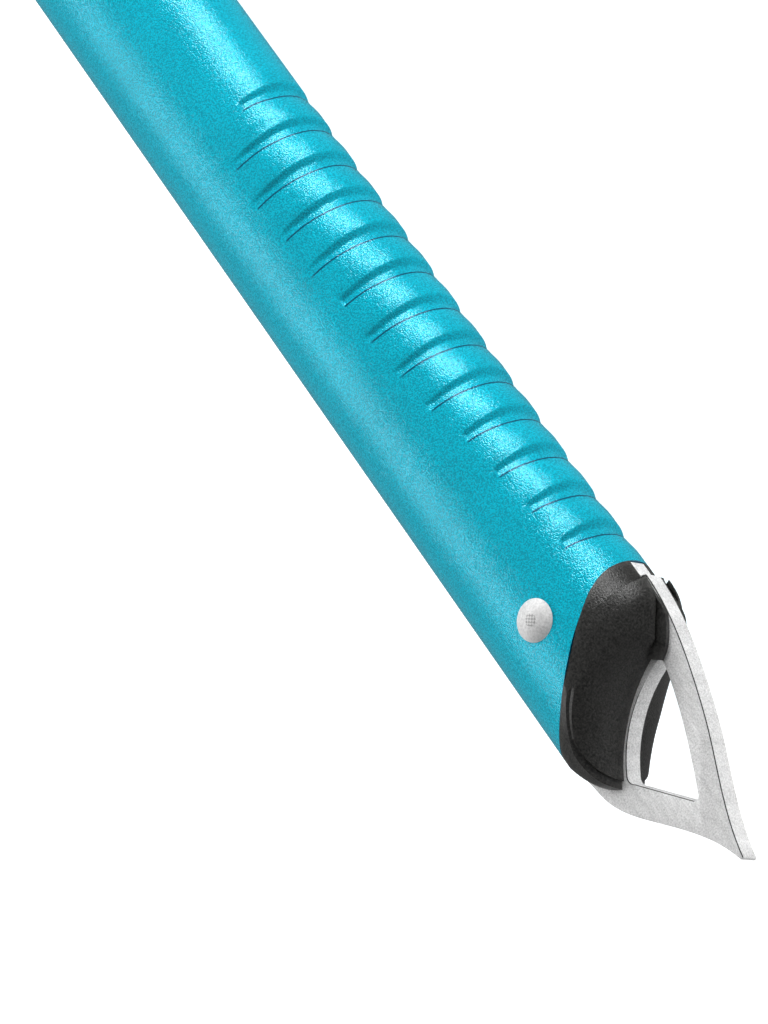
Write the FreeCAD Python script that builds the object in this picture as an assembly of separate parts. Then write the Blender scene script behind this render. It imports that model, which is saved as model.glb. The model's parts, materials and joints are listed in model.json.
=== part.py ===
"""Ice axe with a bent aluminium shaft, a ribbed grip, a steel spike and a bolted head.

Millimetres. The axe lies on its side. +X runs down the shaft from the head to the spike,
+Y is the pick side, +Z is up. The model is drawn about the spike rivet, at the shaft's
axis, and moved at the end so that the origin is the middle of its box's underside.
"""
import FreeCAD
import Part
import math
import os

V = FreeCAD.Vector

# ---- driving dimensions ----------------------------------------------------------------
AXE_LENGTH = 500.0          # spike tip to the top of the head, along the straight shaft
SHAFT_A = 15.5              # half the shaft's width, back to front
SHAFT_B = 12.8              # half the shaft's thickness
WALL = 1.6                  # tube wall
PLATE_T = 4.0               # steel plate of the spike and the pick
FIT_GAP = 0.05              # clearance between parts that are assembled into each other

# Bend of the shaft: it starts above the grip and leans the head towards the pick.
BEND_START_X = -215.0
BEND_RADIUS = 430.0
BEND_ANGLE = 15.0

# Grip ribs, counted from the head end. Each step's sharp edge faces the head.
RIB_COUNT = 13
RIB_PITCH = 9.0
LAST_RIB_X = -7.0
RIB_LENGTH = 2.9
RIB_DEPTH = 0.8
RIB_END_FIRST = 9.3         # Y at which the first, short rib ends
RIB_END_SECOND = 3.6
RIB_END_LONG = 1.9          # Y at which the longest rib ends
RIB_END_LAST = 10.4         # Y at which the last rib ends
RIB_LONGEST = 2             # index of the longest rib

# Spike
TANG_TOP_X = -42.0
TANG_HALF = 9.5
SPIKE_TIP_X = 52.2

# Spike rivet and head rivets
RIVET_R = 2.5
RIVET_HEAD_R = 3.7
RIVET_HEAD_H = 1.3

# Plug: its end is a pillow-shaped pad that follows a circle about the spike's eye, and a
# lobed nose at the front. Distances from the eye's centre are radii of that circle.
PLUG_TOP_X = -46.0
PLUG_END_X = 32.0           # clear of the plug's lower end
EYE_CENTRE = (41.7, 13.2)
RIDGE_R = 26.6              # radius of the pad's ridge, beside the spike
PAD_FALL = 7.4              # how much further out the pad's sides lie
PAD_FRONT_FALL = 5.8        # the same in front, where the pad is flatter
PAD_HEEL_FALL = 3.0         # how much the pad tucks in towards the heel
PAD_STEP = 0.8              # step from the pad down to the flange
PAD_INSET = 0.35            # how far the pad stands in from the tube's surface
PAD_HEEL_INSET = 1.0
PAD_LOW_Y = -15.6
PAD_HIGH_Y = 15.0
PAD_A = 17.9
PAD_B = 13.4
NOSE_A = 17.4               # half width and half thickness of the nose's oval
NOSE_B = 12.7
NOSE_TURN_X = 7.9           # where the nose starts to slope away
NOSE_SLOPE = 0.92
NOSE_BLEND = 1.54
LIP_X = 4.8                 # the lip that stands proud of the tube
LIP_SLANT = 0.15
LIP_END_Y = 4.6
WEB_OUTER_Z = 2.9           # wall against the spike, and the gap beside it
WEB_GAP = 0.35
GAP_DEPTH = 1.2
HEEL_START_X = 14.8         # quarter ellipse that rounds the heel
HEEL_LENGTH = 13.9
HEEL_HEIGHT = 9.0
HEEL_A = 15.9
HEEL_B = 13.3

# Head, in its own frame: X forward, Y up along the shaft, Z across
HEAD_RISE = 33.0            # top of the head above the tube's end
HEAD_T = 17.0               # thickness of the cheeks
HEAD_EYE_R = 6.5
GASKET_T = 0.6
BOLT_R = 3.0
BOLT_HEAD_R = 5.25
BOLT_HEAD_H = 3.2
BOLT_TAIL = 6.4             # thread below the washer: the nut and a little more
SOCKET_ACROSS = 4.0
SOCKET_FLOOR = 1.2
NUT_ACROSS = 10.0
NUT_H = 5.0
NUT_CORNER_R = 6.4          # the cone that takes off the nut's corners
WASHER_R = 5.9
WASHER_T = 1.0
EAR_T = 3.0                 # ears of the adze
BOLT_FRONT = (27.0, 16.0)
BOLT_REAR = (-17.0, 16.0)
HEAD_EYE = (4.0, 17.0)
SPIGOT_LENGTH = 42.0
HEAD_RIVETS_Y = (-13.0, -31.0)
ADZE_WIDTH = 46.0

NODES = {}


# ---- helpers -----------------------------------------------------------------------------
def oval(a, b, x):
    """Face of the shaft's oval section, with half width a and half thickness b, at x."""
    ellipse = Part.Ellipse(V(x, a, 0), V(x, 0, b), V(x, 0, 0))
    return Part.Face(Part.Wire(ellipse.toShape()))


def oval_bar(a, b, x0, x1):
    return oval(a, b, x0).extrude(V(x1 - x0, 0, 0))


def frustum(a0, b0, x0, a1, b1, x1):
    """Solid between two ovals."""
    wires = [oval(a0, b0, x0).OuterWire, oval(a1, b1, x1).OuterWire]
    return Part.makeLoft(wires, True, True)


def box(x0, x1, y0, y1, z0, z1):
    return Part.makeBox(x1 - x0, y1 - y0, z1 - z0, V(x0, y0, z0))


def spline(points):
    curve = Part.BSplineCurve()
    curve.interpolate([V(x, y, 0) for x, y in points])
    return curve.toShape()


def line(p, q):
    return Part.makeLine(V(p[0], p[1], 0), V(q[0], q[1], 0))


def arc(p, q, r):
    return Part.Arc(V(*p, 0), V(*q, 0), V(*r, 0)).toShape()


def plate(edges, z0, z1):
    """Extrude a closed outline of edges from z0 to z1."""
    wire = Part.Wire(Part.__sortEdges__(edges))
    return Part.Face(wire).extrude(V(0, 0, z1 - z0)).translated(V(0, 0, z0))


def polygon(points):
    return [line(p, q) for p, q in zip(points, points[1:] + points[:1])]


def rounded(points, radii):
    """Closed outline through points, each corner rounded with its own radius."""
    edges, count = [], len(points)
    ends = []
    for i, (p, r) in enumerate(zip(points, radii)):
        here = V(*p, 0)
        before = (V(*points[i - 1], 0) - here).normalize()
        after = (V(*points[(i + 1) % count], 0) - here).normalize()
        half = before.getAngle(after) / 2
        if r <= 0:
            ends.append((here, here, None))
            continue
        reach = r / math.tan(half)
        middle = here + (before + after).normalize() * (r / math.sin(half) - r)
        ends.append((here + before * reach, here + after * reach, middle))
    for i, (start, stop, middle) in enumerate(ends):
        if middle is not None:
            edges.append(Part.Arc(start, middle, stop).toShape())
        following = ends[(i + 1) % count][0]
        if (following - stop).Length > 1e-6:
            edges.append(Part.makeLine(stop, following))
    return edges


def hole(x, y, r, z0=-60.0, z1=60.0):
    return Part.makeCylinder(r, z1 - z0, V(x, y, z0))


def save(name, shape):
    NODES[name] = shape


# ---- shaft ---------------------------------------------------------------------------------
def mouth_edge():
    """The line along which the tube is cut, seen from the side, from front to back."""
    return spline([(-0.9, 17.5), (0.5, 12.6), (5.3, 6.4), (12.4, -3.0), (16.4, -10.0), (18.2, -17.5)])


def beyond_mouth(shift, reach=60.0):
    """Everything on the spike's side of the cut, moved by shift along the shaft."""
    edges = [
        mouth_edge(),
        line((18.2, -17.5), (reach, -17.5)),
        line((reach, -17.5), (reach, 17.5)),
        line((reach, 17.5), (-0.9, 17.5)),
    ]
    return plate(edges, -20, 20).translated(V(shift, 0, 0))


def rib_end(index):
    """Y at which a rib's groove ends on the side of the shaft."""
    if index < RIB_LONGEST:
        return (RIB_END_FIRST, RIB_END_SECOND)[index]
    share = (index - RIB_LONGEST) / (RIB_COUNT - 1 - RIB_LONGEST)
    return RIB_END_LONG + share * (RIB_END_LAST - RIB_END_LONG)


def rib_cut(a, b, index):
    """Ring-shaped step pressed into the front of the tube: a slope, then a sharp edge."""
    x1 = LAST_RIB_X - RIB_PITCH * (RIB_COUNT - 1 - index)
    x0 = x1 - RIB_LENGTH
    knee = x0 + 0.62 * RIB_LENGTH
    slab = box(x0, x1, rib_end(index), a + 5, -b - 5, b + 5)
    core = frustum(a, b, x0, a - RIB_DEPTH, b - RIB_DEPTH, knee)
    floor = oval_bar(a - RIB_DEPTH, b - RIB_DEPTH, knee, x1)
    return slab.cut(core).cut(floor)


def straight_bar(a, b):
    bar = oval_bar(a, b, BEND_START_X, 22.0)
    for index in range(RIB_COUNT):
        bar = bar.cut(rib_cut(a, b, index))
    return bar


def bend_centre():
    return V(BEND_START_X, BEND_RADIUS, 0)


def shaft_top():
    """End of the tube at the head: the middle of its section."""
    turn = math.radians(BEND_ANGLE)
    end = bend_centre() + V(-math.sin(turn), -math.cos(turn), 0) * BEND_RADIUS
    up = V(-math.cos(turn), math.sin(turn), 0)
    rise = AXE_LENGTH - SPIKE_TIP_X + end.x - HEAD_RISE * math.cos(turn)
    return end, up, end + up * (rise / math.cos(turn))


def bent_bar(a, b, extra=0.0):
    """The bend and the short straight above it."""
    face = oval(a, b, BEND_START_X)
    bend = face.revolve(bend_centre(), V(0, 0, 1), -BEND_ANGLE)
    end, up, top = shaft_top()
    turned = face.copy()
    turned.rotate(bend_centre(), V(0, 0, 1), -BEND_ANGLE)
    return bend.fuse(turned.extrude(top - end + up * extra))


def make_shaft():
    outer = straight_bar(SHAFT_A, SHAFT_B).fuse(bent_bar(SHAFT_A, SHAFT_B))
    inner = straight_bar(SHAFT_A - WALL, SHAFT_B - WALL)
    inner = inner.fuse(bent_bar(SHAFT_A - WALL, SHAFT_B - WALL, 1.0))
    tube = outer.cut(inner).cut(beyond_mouth(0))
    tube = tube.cut(hole(0, 0, RIVET_R))
    for y in HEAD_RIVETS_Y:
        tube = tube.cut(in_head_frame(hole(0, y, RIVET_R)))
    save("shaft_tube", tube.removeSplitter())


# ---- spike ---------------------------------------------------------------------------------
def spike_hole():
    """Three-sided eye: its upper side bows towards the shaft."""
    edges = [
        arc((16.3, 8.2), (19.9, -1.4), (26.4, -7.9)),
        arc((26.4, -7.9), (27.5, -8.3), (28.7, -7.7)),
        line((28.7, -7.7), (38.5, -0.8)),
        arc((38.5, -0.8), (38.9, -0.05), (38.3, 0.7)),
        spline([(38.3, 0.7), (31.1, 4.3), (24.0, 7.3), (17.6, 9.4)]),
        arc((17.6, 9.4), (16.6, 9.3), (16.3, 8.2)),
    ]
    return plate(edges, -20, 20)


def make_spike():
    tip = SPIKE_TIP_X
    front = [(3.6, 16.3), (9.0, 15.9), (16.0, 14.5), (24.0, 12.0), (31.5, 9.1), (41.0, 4.6), (tip, 0.7)]
    back = [(tip, 0.1), (43.0, -3.9), (37.0, -8.1), (32.0, -11.6), (28.6, -13.3), (24.6, -14.2)]
    edges = [
        line((TANG_TOP_X, -TANG_HALF), (TANG_TOP_X, TANG_HALF)),
        line((TANG_TOP_X, TANG_HALF), (-4.5, TANG_HALF)),
        line((-4.5, TANG_HALF), (-0.35, 13.0)),
        line((-0.35, 13.0), (-0.35, 15.2)),
        line((-0.35, 15.2), (3.0, 15.2)),
        line((3.0, 15.2), (3.6, 16.3)),
        spline(front),
        line(front[-1], back[0]),
        spline(back),
        line(back[-1], (18.9, -15.0)),
        line((18.9, -15.0), (18.6, -12.6)),
        line((18.6, -12.6), (10.0, -TANG_HALF)),
        line((10.0, -TANG_HALF), (TANG_TOP_X, -TANG_HALF)),
    ]
    spike = plate(edges, -PLATE_T / 2, PLATE_T / 2)
    spike = spike.cut(spike_hole()).cut(hole(0, 0, RIVET_R))
    save("spike", spike)


# ---- plug: two mouldings that fill the tube's mouth on either side of the spike -------------
def eye_side_x(radius, y):
    """X of the circle about the eye's centre, on the side of the shaft."""
    return EYE_CENTRE[0] - math.sqrt(radius ** 2 - (y - EYE_CENTRE[1]) ** 2)


def surface_solid(rows, sweep):
    """Solid swept by the smooth surface through rows of points."""
    surface = Part.BSplineSurface()
    surface.interpolate(rows)
    return surface.toShape().extrude(sweep)


def pad_radius(y, share):
    """Distance of the pillowed end from the eye's centre, at a share of its half width."""
    pillow = PAD_FALL * (1 - math.sqrt(1 - share ** 2))
    slope = PAD_FRONT_FALL * share ** 1.3
    front = min(max((y + 2.0) / 13.0, 0.0), 1.0)
    heel = PAD_HEEL_FALL * (max(-8.0 - y, 0.0) / 7.0) ** 3
    return RIDGE_R + heel + (1 - front) * pillow + front * slope


def pad():
    """Solid under the plug's pillowed end, on one side of the spike."""
    rows = []
    for i in range(15):
        y = PAD_LOW_Y + i * (PAD_HIGH_Y - PAD_LOW_Y) / 14
        half = PAD_B * math.sqrt(1 - (y / PAD_A) ** 2)
        shares = [math.sin(math.radians(12.5 * j)) for j in range(8)]
        rows.append([V(eye_side_x(pad_radius(y, share), y), y, half * share) for share in shares])
    return surface_solid(rows, V(-60, 0, 0))


def nose_setback(x):
    """How far the nose has stepped back at x: nothing at the lip, then a steady slope."""
    reach = x - NOSE_TURN_X
    return NOSE_SLOPE / 2 * (reach + math.hypot(reach, NOSE_BLEND))


def behind_nose():
    """Everything behind the nose's surface, which is the shaft's oval pushed back bit by bit."""
    rows = []
    for i in range(13):
        x = -4.0 + 3.0 * i
        turns = [math.radians(15 * j) for j in range(-1, 7)]
        back = nose_setback(x)
        rows.append([V(x, NOSE_A * math.cos(t) - back, NOSE_B * math.sin(t)) for t in turns])
    return surface_solid(rows, V(0, -60, 0))


def past_lip():
    """Where the nose may stand proud of the tube: past the lip's slanting line, at the front."""
    low = LIP_X + LIP_SLANT * (SHAFT_A - LIP_END_Y)
    high = LIP_X + LIP_SLANT * (SHAFT_A - 20)
    return plate(polygon([(low, LIP_END_Y), (high, 20), (40, 20), (40, LIP_END_Y)]), -20, 20)


def heel_rise(x):
    """How far the heel has risen at x: a quarter of an ellipse."""
    reach = max(x - HEEL_START_X, 0.0) / HEEL_LENGTH
    return HEEL_HEIGHT * (1 - math.sqrt(1 - reach ** 2))


def above_heel(inset):
    """Everything above the heel's surface, which is the shaft's oval raised bit by bit."""
    turns = [math.radians(15 * j) for j in range(-1, 7)]
    rounded_part = [HEEL_START_X + HEEL_LENGTH * math.sin(math.radians(10 * i)) for i in range(9)]
    places = [-8.0, 0.0, 8.0] + rounded_part
    rows = []
    for x in places:
        rise = heel_rise(x) + inset
        rows.append([V(x - inset, rise - HEEL_A * math.cos(t), HEEL_B * math.sin(t)) for t in turns])
    return surface_solid(rows, V(0, 60, 0))


def web():
    """Thin wall of the plug that lies against the spike in front of the eye."""
    bow = [(3.8, 16.2), (9.0, 15.75), (12.0, 15.2), (14.0, 13.8), (15.9, 11.9), (17.0, 9.7)]
    edges = [
        spline(bow),
        line((17.0, 9.7), (15.2, 8.0)),
        line((15.2, 8.0), (3.8, 8.0)),
        line((3.8, 8.0), (3.8, 16.2)),
    ]
    return plate(edges, 0, WEB_OUTER_Z)


def slot_for_web():
    """Slot along the middle of the nose, wider than the web by a narrow gap."""
    at_gap = NOSE_A * math.sqrt(1 - (WEB_OUTER_Z / NOSE_B) ** 2) - GAP_DEPTH
    inner = [(x, at_gap - nose_setback(x)) for x in (2.0, 5.0, 8.0, 11.0, 13.5, 16.0)]
    edges = [
        spline(inner),
        line(inner[-1], (30.0, inner[-1][1])),
        line((30.0, inner[-1][1]), (30.0, 25.0)),
        line((30.0, 25.0), (2.0, 25.0)),
        line((2.0, 25.0), inner[0]),
    ]
    return plate(edges, -5.0, WEB_OUTER_Z + WEB_GAP)


def plug_inside():
    """The part of the plug inside the tube."""
    free = WALL + RIB_DEPTH + FIT_GAP
    narrow = oval_bar(SHAFT_A - free, SHAFT_B - free, PLUG_TOP_X, 12.0)
    full = oval_bar(SHAFT_A - WALL - FIT_GAP, SHAFT_B - WALL - FIT_GAP, LAST_RIB_X + 0.5, 22.0)
    return narrow.fuse(full).cut(beyond_mouth(0.0))


def make_plug():
    past = beyond_mouth(0.0)
    nose = behind_nose().cut(slot_for_web())
    rest = box(-20.0, 17.0, PAD_HIGH_Y - 0.8, 25.0, -5.0, 20.0)
    raised = pad().fuse(rest)
    lowered = pad().translated(V(-PAD_STEP, 0, 0)).fuse(rest)
    flange = oval_bar(SHAFT_A, SHAFT_B, -3.0, PLUG_END_X - 1.0)
    flange = flange.common(past).common(nose).common(lowered)
    core = oval_bar(SHAFT_A - PAD_INSET, SHAFT_B - PAD_INSET, -3.0, PLUG_END_X)
    core = core.common(past).common(nose)
    end = core.fuse(nose.common(past_lip())).common(raised).common(above_heel(PAD_HEEL_INSET))
    shown = flange.common(above_heel(0.0)).fuse(end)
    whole = plug_inside().fuse(shown).fuse(web()).cut(hole(0, 0, RIVET_R)).cut(spike_hole())
    half = whole.common(box(-60, 60, -30, 30, PLATE_T / 2, 30.0)).removeSplitter()
    save("spike_plug_left", half)
    save("spike_plug_right", half.mirror(V(0, 0, 0), V(0, 0, 1)))


# ---- rivets ----------------------------------------------------------------------------------
def rivet(half_grip):
    """Solid rivet with a low domed head on each side."""
    shank = Part.makeCylinder(RIVET_R, 2 * half_grip, V(0, 0, -half_grip))
    ball_r = (RIVET_HEAD_R ** 2 + RIVET_HEAD_H ** 2) / (2 * RIVET_HEAD_H)
    ball = Part.makeSphere(ball_r, V(0, 0, half_grip + RIVET_HEAD_H - ball_r))
    head = ball.common(Part.makeCylinder(RIVET_HEAD_R, RIVET_HEAD_H, V(0, 0, half_grip)))
    other = head.mirror(V(0, 0, 0), V(0, 0, 1))
    return shank.fuse(head).fuse(other)


def make_rivets():
    save("spike_rivet", rivet(SHAFT_B))
    for name, y in zip(("head_rivet_upper", "head_rivet_lower"), HEAD_RIVETS_Y):
        save(name, in_head_frame(rivet(SHAFT_B).translated(V(0, y, 0))))


# ---- head ------------------------------------------------------------------------------------
def in_head_frame(shape):
    """Move a shape drawn at the head (X forward, Y up) onto the end of the tube."""
    moved = shape.copy()
    place = FreeCAD.Placement(shaft_top()[2], FreeCAD.Rotation(V(0, 0, 1), 90 - BEND_ANGLE))
    moved.Placement = place.multiply(moved.Placement)
    return moved


def head_oval(a, b, y):
    """Wire of an oval like the shaft's, drawn at the head at height y."""
    return Part.Wire(Part.Ellipse(V(a, y, 0), V(0, y, b), V(0, y, 0)).toShape())


def make_head_body():
    front = [(15.5, GASKET_T), (21, 4.5), (39, 7.0), (41, 24.5), (24, 31.0)]
    back = [(-14, HEAD_RISE), (-26, 27.0), (-26, 10.0), (-15.5, GASKET_T)]
    outline = front + back
    radii = [4, 8, 4, 6, 30, 7, 6, 8, 2]
    block = plate(rounded(outline, radii), -HEAD_T / 2, HEAD_T / 2)
    rims = [e for e in block.Edges if abs(abs(e.CenterOfMass.z) - HEAD_T / 2) < 0.01]
    block = block.makeFillet(2.2, rims)
    foot = Part.Face(head_oval(SHAFT_A, SHAFT_B, GASKET_T)).extrude(V(0, 1.0, 0))
    neck_top = head_oval(SHAFT_A + 1.5, HEAD_T / 2 - 1.0, 9.0)
    neck = Part.makeLoft([head_oval(SHAFT_A, SHAFT_B, GASKET_T + 1.0), neck_top], True)
    spigot_oval = head_oval(SHAFT_A - WALL - FIT_GAP, SHAFT_B - WALL - FIT_GAP, -SPIGOT_LENGTH)
    spigot = Part.Face(spigot_oval).extrude(V(0, SPIGOT_LENGTH + 1.0, 0))
    body = block.fuse(foot).fuse(neck).fuse(spigot)
    slot = box(-40, 60, 8.0, 40, -PLATE_T / 2 - FIT_GAP, PLATE_T / 2 + FIT_GAP)
    body = body.cut(slot)
    for x, y in (BOLT_FRONT, BOLT_REAR):
        body = body.cut(hole(x, y, BOLT_R + FIT_GAP))
    body = body.cut(hole(*HEAD_EYE, HEAD_EYE_R))
    for y in HEAD_RIVETS_Y:
        body = body.cut(hole(0, y, RIVET_R))
    save("head_body", in_head_frame(body.removeSplitter()))
    save("head_gasket", in_head_frame(gasket()))


def gasket():
    """Thin black ring that seals the joint between the tube and the head."""
    outer = Part.Face(head_oval(SHAFT_A, SHAFT_B, 0))
    inner = Part.Face(head_oval(SHAFT_A - WALL, SHAFT_B - WALL, 0))
    return outer.cut(inner).extrude(V(0, GASKET_T, 0))


def pick_outline():
    """Drooping pick with a toothed underside and a flat hammering top at the rear."""
    top = [(24.0, 30.0), (60.0, 26.5), (98.0, 17.0), (130.0, 1.5), (146.0, -11.0)]
    teeth, count = [], 11
    start, stop = V(134.0, -12.2, 0), V(52.0, 7.0, 0)
    bow = 3.4
    for i in range(count + 1):
        share = i / count
        lift = 4 * bow * share * (1 - share)
        root = start + (stop - start) * share + V(0, lift, 0)
        teeth.append((root.x, root.y))
        if i < count:
            tip = start + (stop - start) * ((i + 0.78) / count) + V(0, lift - 2.3, 0)
            teeth.append((tip.x, tip.y))
    edges = [spline(top), line(top[-1], (145.2, -12.6)), line((145.2, -12.6), teeth[0])]
    edges += [line(p, q) for p, q in zip(teeth, teeth[1:])]
    edges += [
        line(teeth[-1], (41.5, 8.2)),
        line((41.5, 8.2), (-24.0, 8.2)),
        line((-24.0, 8.2), (-27.5, 12.0)),
        line((-27.5, 12.0), (-27.5, 25.0)),
        line((-27.5, 25.0), (-20.0, 31.5)),
        line((-20.0, 31.5), (-14.0, 31.8)),
        line((-14.0, 31.8), top[0]),
    ]
    return edges


def make_pick():
    pick = plate(pick_outline(), -PLATE_T / 2, PLATE_T / 2)
    for x, y in (BOLT_FRONT, BOLT_REAR):
        pick = pick.cut(hole(x, y, BOLT_R + FIT_GAP))
    pick = pick.cut(hole(*HEAD_EYE, HEAD_EYE_R))
    save("pick", in_head_frame(pick))


def make_adze():
    """Curved blade on a forked neck whose two ears straddle the back of the head."""
    ear_in, ear_out = HEAD_T / 2 + FIT_GAP, HEAD_T / 2 + EAR_T
    ear = [(-8, 8), (-8, 24), (-30, 26), (-36, 20), (-30, 8)]
    ear = plate(rounded(ear, [7.9, 7.9, 4, 3, 4]), ear_in, ear_out)
    ears = ear.fuse(ear.mirror(V(0, 0, 0), V(0, 0, 1)))
    neck = [(-28.2, 9), (-28.2, 25.6), (-33, 25.0), (-40, 20), (-37, 12)]
    bridge = plate(rounded(neck, [1, 1, 2, 3, 3]), -ear_out, ear_out)
    blade_edges = [
        arc((-34, 22.5), (-55, 19.0), (-72, 5.0)),
        line((-72, 5.0), (-72.6, 4.2)),
        arc((-72.6, 4.2), (-54, 15.6), (-34, 18.6)),
        line((-34, 18.6), (-34, 22.5)),
    ]
    blade = plate(blade_edges, -ADZE_WIDTH / 2, ADZE_WIDTH / 2)
    half = ADZE_WIDTH / 2
    side = [(-33.0, 9.0), (-44.0, 13.0), (-62.0, half), (-80.0, half)]
    plan = side + [(x, -z) for x, z in reversed(side)]
    plan_wire = Part.makePolygon([V(x, -10, z) for x, z in plan + plan[:1]])
    blade = blade.common(Part.Face(plan_wire).extrude(V(0, 60, 0)))
    adze = ears.fuse(bridge).fuse(blade).cut(hole(*BOLT_REAR, BOLT_R + FIT_GAP))
    save("adze", in_head_frame(adze.removeSplitter()))


def bolt(grip0, grip1):
    """Socket button-head bolt: head at +Z above grip1, thread ending below grip0."""
    shank = Part.makeCylinder(BOLT_R, grip1 - grip0 + BOLT_TAIL, V(0, 0, grip0 - BOLT_TAIL))
    top = grip1 + BOLT_HEAD_H
    head = Part.makeCylinder(BOLT_HEAD_R, BOLT_HEAD_H, V(0, 0, grip1))
    head = head.makeFillet(1.8, [e for e in head.Edges if abs(e.CenterOfMass.z - top) < 0.01])
    return shank.fuse(head).cut(hexagon(SOCKET_ACROSS, grip1 + SOCKET_FLOOR, top + 1.0))


def hexagon(across, z0, z1):
    r = across / math.sqrt(3)
    turns = [math.radians(60 * i) for i in range(6)]
    return plate(polygon([(r * math.cos(t), r * math.sin(t)) for t in turns]), z0, z1)


def nut(z1):
    """Nut under z1, with the corners of its outer face taken off by a cone."""
    z0 = z1 - NUT_H
    slope = NUT_CORNER_R - NUT_ACROSS / 2 - 0.2
    cone = Part.makeCone(NUT_CORNER_R - slope, NUT_CORNER_R, slope, V(0, 0, z0))
    trim = cone.fuse(Part.makeCylinder(NUT_CORNER_R, NUT_H - slope, V(0, 0, z0 + slope)))
    return hexagon(NUT_ACROSS, z0, z1).common(trim).cut(hole(0, 0, BOLT_R))


def washer(z0):
    return Part.makeCylinder(WASHER_R, WASHER_T, V(0, 0, z0)).cut(hole(0, 0, BOLT_R + FIT_GAP))


def make_bolts():
    bolts = {"front": (BOLT_FRONT, HEAD_T / 2), "rear": (BOLT_REAR, HEAD_T / 2 + EAR_T)}
    for name, (at, half) in bolts.items():
        outer = half + WASHER_T
        pieces = {
            f"{name}_bolt": bolt(-outer, outer),
            f"{name}_nut": nut(-outer),
            f"{name}_bolt_washer": washer(half),
            f"{name}_nut_washer": washer(-outer),
        }
        for node, shape in pieces.items():
            save(node, in_head_frame(shape.translated(V(*at, 0))))


# ---- assemble ----------------------------------------------------------------------------------
def main():
    make_shaft()
    make_spike()
    make_plug()
    make_rivets()
    make_head_body()
    make_pick()
    make_adze()
    make_bolts()
    whole = FreeCAD.BoundBox()
    for shape in NODES.values():
        whole.add(shape.optimalBoundingBox())
    shift = V(-whole.Center.x, -whole.Center.y, -whole.ZMin)
    os.makedirs("parts", exist_ok=True)
    for name, shape in sorted(NODES.items()):
        moved = shape.copy()
        moved.translate(shift)
        moved.exportStep(f"parts/{name}.step")
        print(name, moved.isValid(), len(moved.Solids), round(moved.Volume, 1))
    print("shift", shift, "box", whole)
    print("head", shaft_top()[2])


main()
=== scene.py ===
"""Studio scene of an ice axe lying on its side, seen close to its spike end.

Metres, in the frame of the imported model. The local frame used for drawing has its origin
at the spike rivet, on the shaft's axis, and is in millimetres: x runs towards the spike's
tip, y towards the pick's side and z up.
"""
import bmesh
import bpy
import json
import math
from mathutils import Matrix, Vector


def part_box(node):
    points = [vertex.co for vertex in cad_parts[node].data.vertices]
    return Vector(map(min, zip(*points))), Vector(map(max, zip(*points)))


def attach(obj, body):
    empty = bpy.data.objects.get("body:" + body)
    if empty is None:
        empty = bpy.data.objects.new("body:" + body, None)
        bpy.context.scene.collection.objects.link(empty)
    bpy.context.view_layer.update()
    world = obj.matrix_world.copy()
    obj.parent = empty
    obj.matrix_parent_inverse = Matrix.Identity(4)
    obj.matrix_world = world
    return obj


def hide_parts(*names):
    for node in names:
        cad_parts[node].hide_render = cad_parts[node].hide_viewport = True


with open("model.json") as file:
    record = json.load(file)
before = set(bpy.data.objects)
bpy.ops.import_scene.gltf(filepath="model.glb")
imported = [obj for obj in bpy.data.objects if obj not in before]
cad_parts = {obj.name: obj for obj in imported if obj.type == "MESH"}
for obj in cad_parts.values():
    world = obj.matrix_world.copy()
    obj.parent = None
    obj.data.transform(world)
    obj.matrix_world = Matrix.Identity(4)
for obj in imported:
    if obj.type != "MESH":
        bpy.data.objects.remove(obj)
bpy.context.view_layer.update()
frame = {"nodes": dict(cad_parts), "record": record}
MM = 0.001


def origin():
    """The spike rivet's centre, on the shaft's axis."""
    low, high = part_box("spike_rivet")
    return (low + high) / 2


ORIGIN = origin()

# Camera, in the local frame
CAMERA_AT = Vector((380.5, 326.4, 668.2))
CAMERA_RIGHT = Vector((0.497, 0.601, -0.626))
CAMERA_FORWARD = Vector((-0.492, -0.399, -0.774))
CAMERA_LENS = 175.8
FLOOR_REACH = 3.0

# Shaft
HALF_WIDTH = 15.5
HALF_THICKNESS = 12.8
WALL = 1.6
BEND_START = -215.0
BEND_RADIUS = 430.0
BEND_ANGLE = math.radians(15.0)
HEAD_END = Vector((-415.924, 38.669, 0.0))   # middle of the tube's end at the head
MOUTH = [(17.5, -0.9), (12.6, 0.5), (6.4, 5.3), (-3.0, 12.4), (-10.0, 16.4), (-17.5, 18.2)]

# Grip grooves, counted from the head's end
GROOVES = 13
PITCH = 9.0
LAST_EDGE = -7.0
GROOVE_WIDTH = (2.1, 3.5)       # at its ends and in front
GROOVE_DEPTH = (0.5, 1.15)
STEP_DROP = 0.4                 # the rib's top beside the sharp edge is this much lower in front
STEP_RUN = 3.4                  # and rises over this length
END_FIRST = (9.4, 3.5)          # y at which the grooves end
END_LONG = 1.9
END_LAST = 10.4
END_WALL = 0.45
SOFT_GROOVES = (1, 2, 3, 4)     # these fade out at their ends
SOFT_DEPTH = 0.35               # and have this share of their depth there
FLOOR_START = -0.56             # where the groove's slope meets its floor, as a share of its width
FLOOR_RISE = 0.2
GROOVE_ROWS = (-1.0, -0.92, -0.84, -0.76, -0.68, -0.6, -0.52, -0.42, -0.3, -0.15, -0.004)
EASED_ANGLE = math.radians(40.0)
KNURL_R = 1.0                   # cross-hatched patch on the spike's rivet
KNURL_FADE = 0.2
KNURL_PER_METRE = 2600.0
SHADE_LINE_WIDTH = 0.24               # painted shade: dark line along each sharp edge and along the mouth
SHADE_LINE_FADE = 0.12
RIB_END = 4.2                   # where a rib's rows end, past its sharp edge
RIB_PLACES = (0.0, SHADE_LINE_WIDTH, SHADE_LINE_WIDTH + SHADE_LINE_FADE, 0.7, 1.3, 2.0, 2.7, STEP_RUN, RIB_END)
MOUTH_ROWS = 16
MOUTH_RIM = 0.012               # the last row but one, as a share of the way back from the mouth
BEND_ROWS = 28
FRONT_COLUMNS = 52
BACK_COLUMNS = 28


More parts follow.
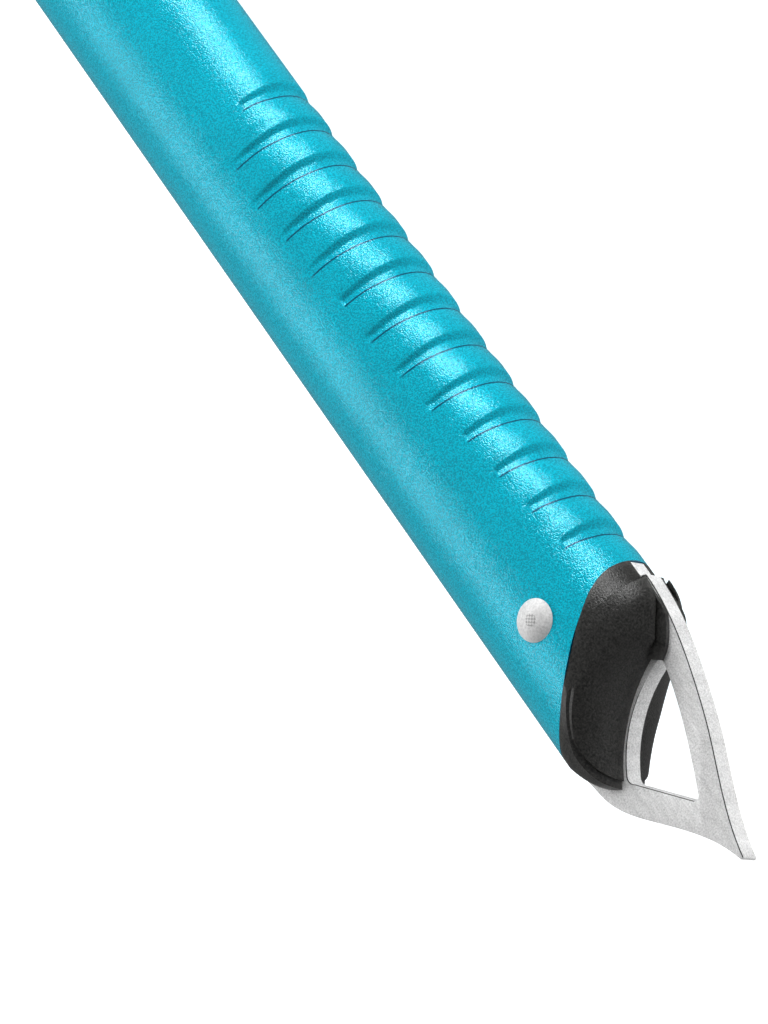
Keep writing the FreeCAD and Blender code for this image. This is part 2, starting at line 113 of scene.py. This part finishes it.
# ---- geometry helpers -----------------------------------------------------------------------
def smooth(value):
    """0 below 0, 1 above 1 and an even curve between."""
    value = min(max(value, 0.0), 1.0)
    return value * value * (3.0 - 2.0 * value)


def mix(a, b, share):
    return a + (b - a) * share


def table_value(table, x):
    """Value at x of a table of (x, value) pairs, x falling, joined by smooth cubic pieces."""
    count = len(table)
    for i in range(count - 1):
        (x0, v0), (x1, v1) = table[i], table[i + 1]
        if x >= x1 or i == count - 2:
            before = table[max(i - 1, 0)]
            after = table[min(i + 2, count - 1)]
            slope0 = (v1 - before[1]) / (x1 - before[0])
            slope1 = (after[1] - v0) / (after[0] - x0)
            span = x1 - x0
            t = (x - x0) / span
            h0 = (1 + 2 * t) * (1 - t) ** 2 * v0 + t * (1 - t) ** 2 * span * slope0
            return h0 + t * t * (3 - 2 * t) * v1 + t * t * (t - 1) * span * slope1


def mesh_piece(name, points, faces, replaced, angle=35.0, shade_lines=()):
    """Object from local points in millimetres, smooth except at edges sharper than angle.

    The last argument holds the numbers of the points that lie on a dark line of painted shade.
    """
    mesh = bpy.data.meshes.new(name)
    mesh.from_pydata([ORIGIN + Vector(p) * MM for p in points], [], faces)
    # Weights of the dark line of painted shade along sharp edges and the mouth.
    line = mesh.attributes.new("line", "FLOAT", "POINT")
    for number in shade_lines:
        line.data[number].value = 1.0
    return add_piece(name, mesh, replaced, angle)


def add_piece(name, mesh, replaced, angle):
    mesh.shade_smooth()
    mesh.set_sharp_from_angle(angle=math.radians(angle))
    piece = bpy.data.objects.new(name, mesh)
    bpy.context.scene.collection.objects.link(piece)
    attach(piece, "root")
    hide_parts(*replaced)
    return piece


# ---- shaft -------------------------------------------------------------------------------------
def groove_edge(index):
    return LAST_EDGE - PITCH * (GROOVES - 1 - index)


def groove_end(index):
    """y at which a groove ends on the side of the shaft."""
    if index < len(END_FIRST):
        return END_FIRST[index]
    first = len(END_FIRST)
    return mix(END_LONG, END_LAST, (index - first) / (GROOVES - 1 - first))


def end_angle(index):
    return math.acos(groove_end(index) / HALF_WIDTH)


def column_angles(index):
    """Angles of the columns, from the front over the top to the back, for a groove's rows."""
    stop = end_angle(index)
    wall = END_WALL / (HALF_WIDTH * math.sin(stop))
    front = [(stop - wall) * i / FRONT_COLUMNS for i in range(FRONT_COLUMNS + 1)]
    back = [mix(stop, math.pi, i / BACK_COLUMNS) for i in range(BACK_COLUMNS + 1)]
    half = front + back
    return half + [-a for a in reversed(half[1:-1])]


def front_share(angle, index):
    """How far towards the front a place in a groove is: 0 at its end, 1 in the middle."""
    y = HALF_WIDTH * math.cos(angle)
    low = groove_end(index)
    return min(max((y - low) / (HALF_WIDTH - low), 0.0), 1.0)


def groove_width(angle, index):
    return mix(*GROOVE_WIDTH, front_share(angle, index) ** 1.2)


def groove_depth(angle, index):
    """Full depth of a groove at an angle: none beyond its end."""
    share = front_share(angle, index)
    if share <= 0:
        return 0.0
    depth = mix(*GROOVE_DEPTH, share ** 0.9)
    if index in SOFT_GROOVES:
        depth *= mix(SOFT_DEPTH, 1.0, smooth(share * 3.2))
    return depth


def groove_profile(part):
    """Share of the depth along the groove: a slope away from the head, then a floor."""
    if part < FLOOR_START:
        return smooth((part + 1.0) / (FLOOR_START + 1.0))
    return 1.0 - FLOOR_RISE * (part - FLOOR_START) / -FLOOR_START


def rib_drop(angle, index, past):
    """How much lower the rib's top is, past millimetres beyond the sharp edge."""
    front = smooth((front_share(angle, index) - 0.25) / 0.6)
    return STEP_DROP * front * (1 - smooth(past / STEP_RUN) ** 0.8)


def groove_rows(index):
    """Rows of one groove and its rib: each gives x and depth for every column."""
    edge, angles = groove_edge(index), column_angles(index)
    rows = []
    for part in GROOVE_ROWS:
        row = []
        for angle in angles:
            a = abs(angle)
            width, depth = groove_width(a, index), groove_depth(a, index)
            row.append((edge + part * width, depth * groove_profile(part), angle))
        rows.append(row)
    for past in RIB_PLACES:
        rows.append([(edge + past, rib_drop(abs(a), index, past), a) for a in angles])
    return rows


def mouth_rows():
    """Rows from the last rib to the slanting edge of the tube's mouth."""
    start = groove_edge(GROOVES - 1) + RIB_END
    angles = column_angles(GROOVES - 1)
    rows = []
    shares = [i / MOUTH_ROWS for i in range(1, MOUTH_ROWS)] + [1.0 - MOUTH_RIM, 1.0]
    for share in shares:
        row = []
        for angle in angles:
            stop = table_value(MOUTH, HALF_WIDTH * math.cos(angle))
            row.append((mix(start, stop, share), 0.0, angle))
        rows.append(row)
    return rows


def plain_rows(places):
    angles = column_angles(0)
    return [[(x, 0.0, a) for a in angles] for x in places]


def bent(x, y, z):
    """A point of the straightened shaft moved to where the bend puts it."""
    if x >= BEND_START:
        return (x, y, z)
    turn = min((BEND_START - x) / BEND_RADIUS, BEND_ANGLE)
    left = BEND_START - x - turn * BEND_RADIUS
    out = BEND_RADIUS - y
    px = BEND_START - math.sin(turn) * out - math.cos(turn) * left
    py = BEND_RADIUS - math.cos(turn) * out + math.sin(turn) * left
    return (px, py, z)


def shaft_start():
    """x of the tube's end at the head, measured along the straightened shaft."""
    bend_end = Vector(bent(BEND_START - BEND_RADIUS * BEND_ANGLE, 0, 0))
    return BEND_START - BEND_RADIUS * BEND_ANGLE - (HEAD_END - bend_end).length


def row_points(row, inset=0.0):
    points = []
    for x, depth, angle in row:
        y = (HALF_WIDTH - inset - depth) * math.cos(angle)
        z = (HALF_THICKNESS - inset - depth) * math.sin(angle)
        points.append(bent(x, y, z))
    return points


def painted_shade_line_points(outside, count):
    """Numbers of the points along the sharp edges of the grooves and along the mouth, where a dark
    line of painted shade goes.
    """
    marked = {}
    for index in range(GROOVES):
        marked[groove_edge(index)] = index
        marked[groove_edge(index) + SHADE_LINE_WIDTH] = index
    numbers = []
    for i, row in enumerate(outside):
        index = marked.get(row[0][0])
        if i == len(outside) - 1:
            numbers += range(i * count, (i + 1) * count)
        elif index is not None:
            for j, (_, _, angle) in enumerate(row):
                if groove_depth(abs(angle), index) > 0:
                    numbers.append(i * count + j)
    return numbers


def make_shaft():
    """The tube as one closed skin: outside, rim, inside, rim."""
    top = shaft_start()
    bend_end = BEND_START - BEND_RADIUS * BEND_ANGLE
    bend = [mix(bend_end, BEND_START, i / BEND_ROWS) for i in range(BEND_ROWS + 1)]
    straight = [-190.0, -165.0, -145.0, -132.0, -124.0]
    outside = plain_rows([top, top + 0.4, mix(top, bend_end, 0.5)] + bend + straight)
    for index in range(GROOVES):
        outside += groove_rows(index)
    outside += mouth_rows()
    rim = outside[-1]
    inside = [rim] + plain_rows([-30.0] + straight[::-1] + bend[::-1] + [top])
    rings = [row_points(row) for row in outside] + [row_points(row, WALL) for row in inside]
    count, total = len(rings[0]), len(rings)
    points = [p for ring in rings for p in ring]
    shade_lines = painted_shade_line_points(outside, count)
    faces = []
    for i in range(total):
        following = (i + 1) % total
        for j in range(count):
            k = (j + 1) % count
            near, far = i * count, following * count
            faces.append((near + j, near + k, far + k, far + j))
    return mesh_piece("shaft_skin", points, faces, ["shaft_tube"], 42.0, shade_lines)


# ---- plates -----------------------------------------------------------------------------------
def eased_plate(node_name, width):
    """A plate of the model with its sharp edges taken off by width."""
    work = bmesh.new()
    work.from_mesh(frame["nodes"][node_name].data)
    bmesh.ops.remove_doubles(work, verts=work.verts, dist=0.002 * MM)
    bmesh.ops.dissolve_limit(work, angle_limit=math.radians(0.5), verts=work.verts, edges=work.edges)
    sharp = [e for e in work.edges if len(e.link_faces) == 2 and e.calc_face_angle() > EASED_ANGLE]
    bmesh.ops.bevel(work, geom=sharp, offset=width * MM, segments=2, profile=0.5, affect="EDGES",
                    clamp_overlap=True)
    mesh = bpy.data.meshes.new(node_name + "_eased")
    work.to_mesh(mesh)
    work.free()
    return add_piece(node_name + "_eased", mesh, [node_name], 40.0)


# ---- materials --------------------------------------------------------------------------------
class Nodes:
    """Short ways to build a material's nodes."""

    def __init__(self, name):
        self.material = bpy.data.materials.new(name)
        self.material.use_nodes = True
        self.tree = self.material.node_tree
        self.shader = self.tree.nodes["Principled BSDF"]
        place = self.tree.nodes.new("ShaderNodeTexCoord")
        self.place = place.outputs["Object"]

    def link(self, source, target):
        if isinstance(source, (int, float)):
            target.default_value = source
        elif isinstance(source, tuple):
            target.default_value = (*source, 1.0)
        else:
            self.tree.links.new(source, target)

    def noise(self, per_metre, detail=3.0, rough=0.55, stretch=None):
        """Noise with about per_metre features in a metre."""
        node = self.tree.nodes.new("ShaderNodeTexNoise")
        node.inputs["Scale"].default_value = per_metre
        node.inputs["Detail"].default_value = detail
        node.inputs["Roughness"].default_value = rough
        self.link(self.stretched(stretch), node.inputs["Vector"])
        return node.outputs[0]

    def stretched(self, stretch):
        if stretch is None:
            return self.place
        node = self.tree.nodes.new("ShaderNodeMapping")
        node.inputs["Scale"].default_value = stretch
        self.link(self.place, node.inputs["Vector"])
        return node.outputs["Vector"]

    def ranged(self, value, low, high, out_low, out_high):
        node = self.tree.nodes.new("ShaderNodeMapRange")
        self.link(value, node.inputs["Value"])
        limits = {"From Min": low, "From Max": high, "To Min": out_low, "To Max": out_high}
        for key, number in limits.items():
            node.inputs[key].default_value = number
        return node.outputs["Result"]

    def math(self, operation, a, b):
        node = self.tree.nodes.new("ShaderNodeMath")
        node.operation = operation
        self.link(a, node.inputs[0])
        self.link(b, node.inputs[1])
        return node.outputs[0]

    def blend(self, share, a, b):
        """Colour between a and b."""
        node = self.tree.nodes.new("ShaderNodeMix")
        node.data_type = "RGBA"
        self.link(share, node.inputs[0])
        self.link(a, node.inputs[6])
        self.link(b, node.inputs[7])
        return node.outputs[2]

    def bump(self, height, depth_mm, before=None):
        """Bump of a height from 0 to 1 that stands for depth_mm."""
        node = self.tree.nodes.new("ShaderNodeBump")
        node.inputs["Strength"].default_value = 1.0
        node.inputs["Distance"].default_value = depth_mm * MM
        self.link(height, node.inputs["Height"])
        if before is not None:
            self.link(before, node.inputs["Normal"])
        return node.outputs["Normal"]

    def soft_edges(self, radius_mm):
        node = self.tree.nodes.new("ShaderNodeBevel")
        node.samples = 4
        node.inputs["Radius"].default_value = radius_mm * MM
        return node.outputs["Normal"]

    def attribute(self, name):
        node = self.tree.nodes.new("ShaderNodeAttribute")
        node.attribute_name = name
        return node.outputs["Fac"]

    def painted_edge_shade(self):
        """Painted shade mask: 1 on narrow faces that look both to the pick's side and up."""
        geometry = self.tree.nodes.new("ShaderNodeNewGeometry")
        node = self.tree.nodes.new("ShaderNodeSeparateXYZ")
        self.link(geometry.outputs["Normal"], node.inputs["Vector"])
        front = self.ranged(node.outputs["Y"], 0.2, 0.3, 0.0, 1.0)
        return self.math("MULTIPLY", front, self.ranged(node.outputs["Z"], 0.2, 0.3, 0.0, 1.0))

    def edge_wear(self, strength):
        """strength on sharp outer edges, 0 elsewhere."""
        node = self.tree.nodes.new("ShaderNodeNewGeometry")
        return self.ranged(node.outputs["Pointiness"], 0.52, 0.6, 0.0, strength)

    def finish(self, color, rough, metallic, normal, **constants):
        self.link(color, self.shader.inputs["Base Color"])
        self.link(rough, self.shader.inputs["Roughness"])
        self.shader.inputs["Metallic"].default_value = metallic
        self.link(normal, self.shader.inputs["Normal"])
        for key, number in constants.items():
            self.shader.inputs[key.replace("_", " ")].default_value = number
        return self.material


def shaft_paint():
    """Metallic teal lacquer with a fine, wrinkled skin, its pits painted darker as shade and its sharp
    edges lined with painted shade.
    """
    n = Nodes("shaft_paint")
    wrinkle = n.noise(3600, 1.0, 0.5)
    patches = n.noise(60, 3.0)
    base = n.blend(n.ranged(patches, 0.3, 0.7, 0.0, 1.0), (0.0, 0.47, 0.62), (0.0, 0.53, 0.7))
    # Painted shade: the teal darkens where the wrinkle's height is low, in its pits.
    shade = n.blend(0.4, base, (0.0, 0.12, 0.2))
    pit_shaded_teal = n.blend(n.ranged(wrinkle, 0.38, 0.58, 0.0, 1.0), shade, base)
    # Painted shade: a dark line along each groove's sharp edge and along the mouth, from the line
    # attribute.
    color = n.blend(n.attribute("line"), pit_shaded_teal, (0.0, 0.05, 0.12))
    rough = n.ranged(wrinkle, 0.3, 0.7, 0.22, 0.32)
    normal = n.bump(wrinkle, 0.1)
    n.link(normal, n.shader.inputs["Coat Normal"])
    return n.finish(color, rough, 0.3, normal,
                    Coat_Weight=1.0, Coat_Roughness=0.12, Specular_IOR_Level=0.0)


def plate_steel(name, edge_shade, dark, light):
    """Fine blasted steel between two tones; when asked, its front edges' chamfers, which face the
    pick's side and up, are painted dark as shade.
    """
    n = Nodes(name)
    blast = n.noise(3200, 2.0, 0.6)
    marks = n.noise(900, 2.0, 0.6, (0.35, 1.0, 0.04))
    patches = n.noise(90, 4.0)
    tone = n.math("ADD", n.math("MULTIPLY", blast, 0.7), n.math("MULTIPLY", marks, 0.3))
    base = n.blend(n.ranged(tone, 0.3, 0.7, 0.0, 1.0), (dark,) * 3, (light,) * 3)
    color = n.blend(n.ranged(patches, 0.35, 0.75, 0.0, 0.3), base, (mix(dark, light, 0.5),) * 3)
    if edge_shade:
        # Painted shade: dark chamfers facing the pick's side and up.
        color = n.blend(n.painted_edge_shade(), color, (0.02, 0.02, 0.02))
    rough = n.ranged(patches, 0.3, 0.7, 0.45, 0.55)
    normal = n.bump(tone, 0.12)
    return n.finish(color, rough, 0.2, normal)


def plug_plastic():
    """Black moulding with a fine, even grain."""
    n = Nodes("plug_plastic")
    grain = n.noise(3000, 2.0, 0.6)
    patches = n.noise(140, 3.0)
    base = n.blend(n.ranged(grain, 0.35, 0.75, 0.0, 1.0), (0.002, 0.002, 0.002), (0.045, 0.045, 0.042))
    color = n.blend(n.edge_wear(0.35), base, (0.12, 0.12, 0.115))
    rough = n.ranged(patches, 0.3, 0.7, 0.3, 0.38)
    normal = n.bump(grain, 0.1, n.soft_edges(0.16))
    return n.finish(color, rough, 0.0, normal, Specular_IOR_Level=0.7)


def rivet_metal():
    """Satin metal with a light tumbled texture."""
    n = Nodes("rivet_metal")
    tumble = n.noise(2600, 3.0, 0.6)
    patches = n.noise(420, 3.0)
    base = n.blend(n.ranged(tumble, 0.3, 0.7, 0.0, 1.0), (0.58, 0.58, 0.58), (0.88, 0.88, 0.88))
    color = n.blend(n.ranged(patches, 0.4, 0.7, 0.0, 0.3), base, (0.42, 0.42, 0.42))
    checks = knurl(n)
    marked = n.blend(n.math("MULTIPLY", checks, 0.6), color, (0.2, 0.2, 0.2))
    rough = n.ranged(patches, 0.3, 0.7, 0.52, 0.62)
    height = n.math("ADD", tumble, n.math("MULTIPLY", checks, 1.2))
    return n.finish(marked, rough, 0.2, n.bump(height, 0.07))


def knurl(n):
    """Small cross-hatched patch in the middle of the spike's rivet."""
    flat = n.stretched((1.0, 1.0, 0.0))
    distance = n.tree.nodes.new("ShaderNodeVectorMath")
    distance.operation = "DISTANCE"
    distance.inputs[1].default_value = (ORIGIN.x, ORIGIN.y, 0.0)
    n.link(flat, distance.inputs[0])
    edge = (KNURL_R + KNURL_FADE) * MM
    inside = n.ranged(distance.outputs["Value"], KNURL_R * MM, edge, 1.0, 0.0)
    checks = n.tree.nodes.new("ShaderNodeTexChecker")
    checks.inputs["Scale"].default_value = KNURL_PER_METRE
    n.link(flat, checks.inputs["Vector"])
    return n.math("MULTIPLY", inside, checks.outputs["Fac"])


def head_metal():
    """Dark anodised, blasted aluminium."""
    n = Nodes("head_metal")
    blast = n.noise(4200, 2.0, 0.6)
    patches = n.noise(70, 4.0)
    base = n.blend(n.ranged(patches, 0.3, 0.7, 0.0, 1.0), (0.09, 0.092, 0.096), (0.13, 0.132, 0.137))
    speck = n.blend(n.ranged(blast, 0.4, 0.75, 0.0, 0.6), base, (0.2, 0.2, 0.21))
    color = n.blend(n.edge_wear(0.5), speck, (0.45, 0.45, 0.46))
    rough = n.ranged(blast, 0.3, 0.7, 0.4, 0.52)
    return n.finish(color, rough, 0.7, n.bump(blast, 0.03, n.soft_edges(0.3)))


def seal_rubber():
    n = Nodes("seal_rubber")
    grain = n.noise(3000, 3.0)
    color = n.blend(n.ranged(grain, 0.3, 0.7, 0.0, 1.0), (0.01, 0.01, 0.01), (0.03, 0.03, 0.03))
    return n.finish(color, n.ranged(grain, 0.3, 0.7, 0.6, 0.75), 0.0, n.bump(grain, 0.04))


def bolt_metal():
    """Zinc-plated steel."""
    n = Nodes("bolt_metal")
    turned = n.noise(1400, 3.0, 0.6)
    patches = n.noise(200, 3.0)
    base = n.blend(n.ranged(patches, 0.3, 0.7, 0.0, 1.0), (0.5, 0.51, 0.52), (0.66, 0.66, 0.65))
    color = n.blend(n.edge_wear(0.5), base, (0.82, 0.82, 0.82))
    rough = n.ranged(turned, 0.3, 0.7, 0.28, 0.4)
    return n.finish(color, rough, 0.95, n.bump(turned, 0.02, n.soft_edges(0.15)))


def floor_paper():
    """White sheet lit from behind, as on a light table."""
    n = Nodes("floor_paper")
    fibre = n.noise(900, 3.0)
    color = n.blend(n.ranged(fibre, 0.3, 0.7, 0.0, 1.0), (0.8, 0.8, 0.8), (0.82, 0.82, 0.82))
    n.shader.inputs["Emission Color"].default_value = (1.0, 1.0, 1.0, 1.0)
    return n.finish(color, 0.9, 0.0, n.bump(fibre, 0.01), Emission_Strength=0.72)


def dress():
    """Give every node of the model its own material or its slot's."""
    finishes = {
        "shaft": shaft_paint(),
        "steel": plate_steel("plate_steel", True, 0.46, 1.0),
        # Painted shade: the pick and adze take a darker copy of the plate steel, so they stay apart
        # from the pale floor under the overhead light.
        "pick": plate_steel("pick_steel_shaded", True, 0.28, 0.62),
        "adze": plate_steel("adze_steel_shaded", False, 0.28, 0.62),
        "plug": plug_plastic(),
        "rivet": rivet_metal(),
        "head": head_metal(),
        "seal": seal_rubber(),
        "bolt": bolt_metal(),
    }
    for part in frame["record"]["subparts"]:
        mesh = frame["nodes"][part["node"]].data
        mesh.materials.clear()
        mesh.materials.append(finishes.get(part["node"], finishes[part["material_slot"]]))
    return finishes


# ---- studio -------------------------------------------------------------------------------------
def make_camera():
    data = bpy.data.cameras.new("camera")
    data.sensor_width = 36.0
    data.lens = CAMERA_LENS
    data.clip_start = 0.01
    data.clip_end = 20.0
    forward = CAMERA_FORWARD.normalized()
    right = (CAMERA_RIGHT - forward * CAMERA_RIGHT.dot(forward)).normalized()
    up = right.cross(forward)
    camera = bpy.data.objects.new("camera", data)
    turn = Matrix((right, up, -forward)).transposed().to_4x4()
    camera.matrix_world = Matrix.Translation(ORIGIN + CAMERA_AT * MM) @ turn
    bpy.context.scene.collection.objects.link(camera)
    bpy.context.scene.camera = camera


def make_floor(material):
    r = FLOOR_REACH
    mesh = bpy.data.meshes.new("floor")
    corners = [(-r, -r, 0), (r, -r, 0), (r, r, 0), (-r, r, 0)]
    mesh.from_pydata(corners, [], [(0, 1, 2, 3)])
    mesh.materials.append(material)
    floor = bpy.data.objects.new("floor", mesh)
    floor.visible_glossy = False
    bpy.context.scene.collection.objects.link(floor)


def softbox(name, place, energy, size, aim, mirrored):
    """Area light at a local place in millimetres, aimed at another.

    One that isn't mirrored lights the axe without showing in its gloss.
    """
    data = bpy.data.lights.new(name, "AREA")
    data.shape = "RECTANGLE"
    data.energy = energy
    data.size, data.size_y = size[0] * MM, size[1] * MM
    light = bpy.data.objects.new(name, data)
    light.location = ORIGIN + Vector(place) * MM
    light.rotation_euler = (Vector(aim) - Vector(place)).to_track_quat("-Z", "Y").to_euler()
    light.visible_camera = False
    light.visible_glossy = mirrored
    bpy.context.scene.collection.objects.link(light)


def make_world(strength):
    world = bpy.data.worlds.new("world")
    world.use_nodes = True
    background = world.node_tree.nodes["Background"]
    background.inputs["Color"].default_value = (1.0, 1.0, 1.0, 1.0)
    background.inputs["Strength"].default_value = strength
    bpy.context.scene.world = world


materials = dress()
shaft = make_shaft()
shaft.data.materials.append(materials["shaft"])
for plate_node, width in (("spike", 0.16), ("pick", 0.16), ("adze", 0.2)):
    plate = eased_plate(plate_node, width)
    plate.data.materials.append(materials.get(plate_node, materials["steel"]))
make_floor(floor_paper())
make_camera()
make_world(0.15)
softbox("overhead", (-1100.0, 0.0, 900.0), 17.5, (900.0, 1500.0), (-100.0, 0.0, 0.0), False)
softbox("back_fill", (-100.0, -1200.0, 250.0), 9.0, (900.0, 700.0), (-80.0, 0.0, 0.0), False)
softbox("front_fill", (100.0, 1200.0, 300.0), 6.5, (900.0, 700.0), (-80.0, 0.0, 0.0), False)
softbox("front_strip", (-560.0, 760.0, 300.0), 5.0, (900.0, 100.0), (-80.0, 0.0, 0.0), True)
softbox("back_box", (-735.0, -975.0, 870.0), 3.5, (900.0, 300.0), (-80.0, 0.0, 0.0), True)
bpy.context.scene.view_settings.view_transform = "Standard"
